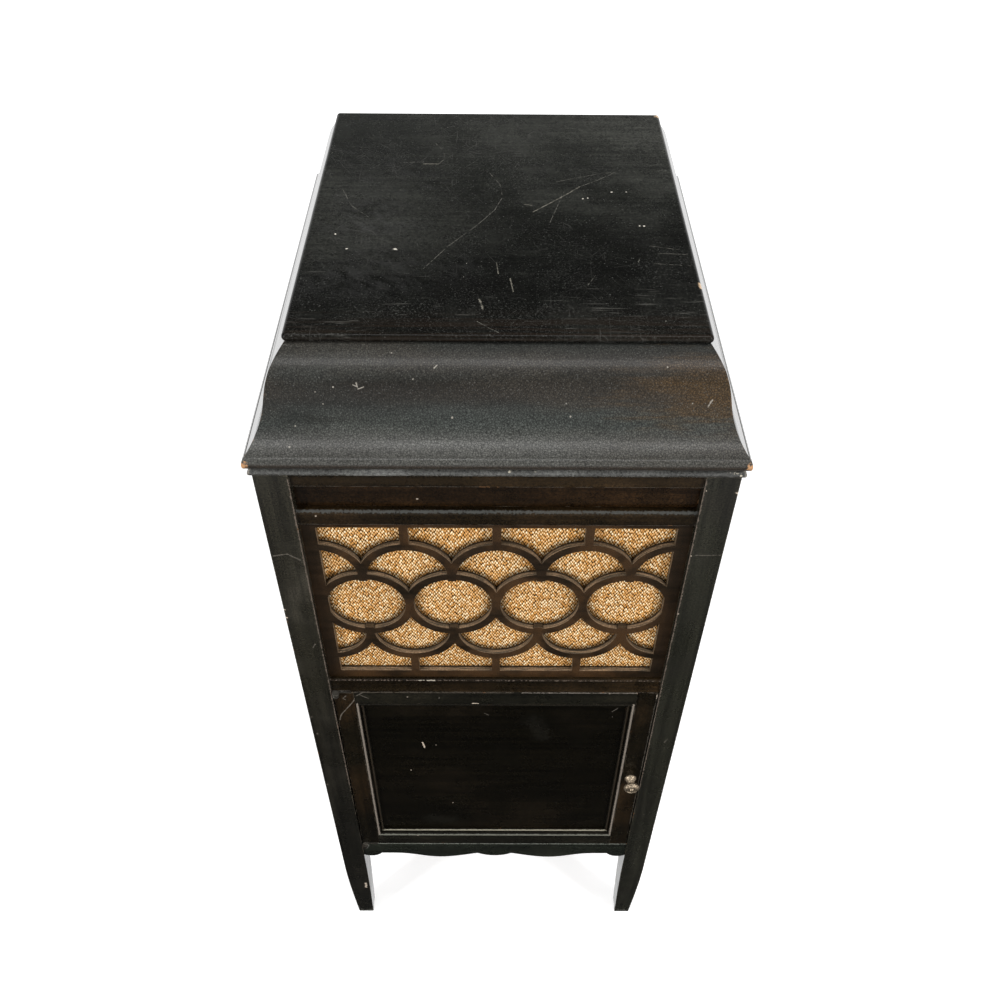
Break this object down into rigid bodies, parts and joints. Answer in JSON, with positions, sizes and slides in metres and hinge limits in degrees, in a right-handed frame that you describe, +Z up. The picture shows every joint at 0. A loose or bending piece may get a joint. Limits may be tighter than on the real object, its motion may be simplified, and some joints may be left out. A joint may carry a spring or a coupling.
{
  "type": "upright cabinet gramophone",
  "caption": "Floor standing wooden gramophone cabinet on tapered legs, with an ogee edged lid, a fretted cloth backed grille, a record cupboard, and a hand wound turntable under the lid.",
  "frame": {"origin": "on the floor, midway between the outer faces of the four posts", "axes": "+X to the right of someone facing the front, +Y to the back, +Z up"},
  "size_m": [0.5135, 0.5217, 1.0533],
  "materials": {
    "ebonised_wood": "worn satin black stain over fine grain",
    "lid_moulding": "crazed satin black stain",
    "frieze_wood": "thin brown black stain",
    "fret_wood": "worn black stain with tan edges",
    "back_wood": "plain stained board",
    "grille_cloth": "open gold weave",
    "inner_wood": "oiled board",
    "horn_wood": "sanded board",
    "black_iron": "black enamel over casting",
    "old_brass": "tarnished",
    "spring_steel": "blued",
    "gear_brass": "machined",
    "motor_steel": "oiled",
    "turntable_steel": "nickelled rim",
    "felt": "dense felt",
    "grip_wood": "turned and blacked",
    "nickel": "dull nickel plate"
  },
  "bodies": {
    "case": {"post_front_left": "ebonised_wood", "post_front_right": "ebonised_wood", "post_rear_left": "ebonised_wood", "post_rear_right": "ebonised_wood", "side_panel_left": "ebonised_wood", "side_panel_right": "ebonised_wood", "cap_moulding": "ebonised_wood", "top_rail": "ebonised_wood", "bead_rail": "ebonised_wood", "middle_rail": "ebonised_wood", "apron": "ebonised_wood", "frieze_board": "frieze_wood", "fret_panel": "fret_wood", "back_panel": "back_wood", "grille_cloth": "grille_cloth", "cupboard_floor": "inner_wood", "cupboard_ceiling": "inner_wood", "record_dividers": "inner_wood", "motor_board": "inner_wood", "board_cleats": "inner_wood", "horn_top": "horn_wood", "horn_bottom": "horn_wood", "horn_cheeks": "horn_wood", "horn_elbow": "black_iron", "motor_frame": "black_iron", "needle_cups": "old_brass", "lid_hinge_case_leaves": "old_brass", "stay_guide": "old_brass", "door_hinge_case_leaves": "old_brass", "crank_escutcheon": "old_brass", "door_catch": "spring_steel", "lever_pivots": "motor_steel", "tonearm_base": "nickel"},
    "lid": {"lid_top": "ebonised_wood", "lid_front": "lid_moulding", "lid_left": "lid_moulding", "lid_right": "lid_moulding", "lid_back": "ebonised_wood", "lid_hinge_lid_leaves": "old_brass", "lid_stay": "old_brass"},
    "door": {"door_stiles": "ebonised_wood", "door_rails": "ebonised_wood", "door_panel": "ebonised_wood", "door_moulding": "ebonised_wood", "door_knob": "old_brass", "door_hinge_door_leaves": "old_brass"},
    "platter": {"turntable_spindle": "motor_steel", "turntable": "turntable_steel", "turntable_felt": "felt"},
    "intermediate": {"intermediate_gear": "gear_brass"},
    "barrel": {"spring_barrel": "motor_steel", "mainspring": "spring_steel"},
    "winder": {"winding_arbor": "motor_steel"},
    "governor_shaft": {"governor": "gear_brass"},
    "winding_crank": {"crank": "motor_steel"},
    "grip": {"crank_grip": "grip_wood"},
    "arm": {"tonearm": "nickel"},
    "sound_box": {"soundbox": "nickel"},
    "brake": {"brake_lever": "old_brass"},
    "speed_control": {"speed_lever": "old_brass"}
  },
  "joints": [
    {"name": "lid_hinge", "type": "hinge", "parent": "case", "child": "lid", "pos_m": [0, 0.2535, 0.96485], "axis": [-1, 0, 0], "range_deg": [0, 70]},
    {"name": "door_hinge", "type": "hinge", "parent": "case", "child": "door", "pos_m": [-0.1794, -0.2512, 0.4265], "axis": [0, 0, -1], "range_deg": [0, 120]},
    {"name": "turntable_spin", "type": "hinge", "parent": "case", "child": "platter", "pos_m": [-0.02, -0.04, 0.937], "axis": [0, 0, -1], "continuous": true},
    {"name": "intermediate_spin", "type": "hinge", "parent": "case", "child": "intermediate", "pos_m": [-0.00125, -0.07248, 0.885], "axis": [0, 0, -1], "continuous": true},
    {"name": "barrel_spin", "type": "hinge", "parent": "case", "child": "barrel", "pos_m": [0.0325, -0.03226, 0.885], "axis": [0, 0, -1], "continuous": true},
    {"name": "governor_spin", "type": "hinge", "parent": "case", "child": "governor_shaft", "pos_m": [-0.0453, -0.04, 0.844], "axis": [0, 1, 0], "continuous": true},
    {"name": "crank_turn", "type": "hinge", "parent": "case", "child": "winding_crank", "pos_m": [0.23, -0.03226, 0.846], "axis": [-1, 0, 0], "continuous": true},
    {"name": "winder_spin", "type": "hinge", "parent": "case", "child": "winder", "pos_m": [0.0325, -0.03226, 0.885], "axis": [0, 0, -1], "continuous": true},
    {"name": "grip_spin", "type": "hinge", "parent": "winding_crank", "child": "grip", "pos_m": [0.264, 0.02774, 0.74208], "axis": [1, 0, 0], "continuous": true},
    {"name": "tonearm_swing", "type": "hinge", "parent": "case", "child": "arm", "pos_m": [0.118, 0.175, 0.947], "axis": [0, 0, -1], "range_deg": [0, 28]},
    {"name": "soundbox_turn", "type": "hinge", "parent": "arm", "child": "sound_box", "pos_m": [0.14792, -0.06901, 1.004], "axis": [-0.9703, -0.2419, 0], "range_deg": [0, 100]},
    {"name": "brake_swing", "type": "hinge", "parent": "case", "child": "brake", "pos_m": [-0.16142, -0.12768, 0.946], "axis": [0, 0, -1], "range_deg": [0, 15]},
    {"name": "speed_swing", "type": "hinge", "parent": "case", "child": "speed_control", "pos_m": [0.1, -0.205, 0.946], "axis": [0, 0, 1], "range_deg": [-25, 25]}
  ],
  "couplings": [
    {"joint": "intermediate_spin", "follows": "turntable_spin", "ratio": -0.25},
    {"joint": "barrel_spin", "follows": "turntable_spin", "ratio": 0.041667},
    {"joint": "governor_spin", "follows": "turntable_spin", "ratio": 12},
    {"joint": "winder_spin", "follows": "crank_turn", "ratio": 0.23881}
  ]
}
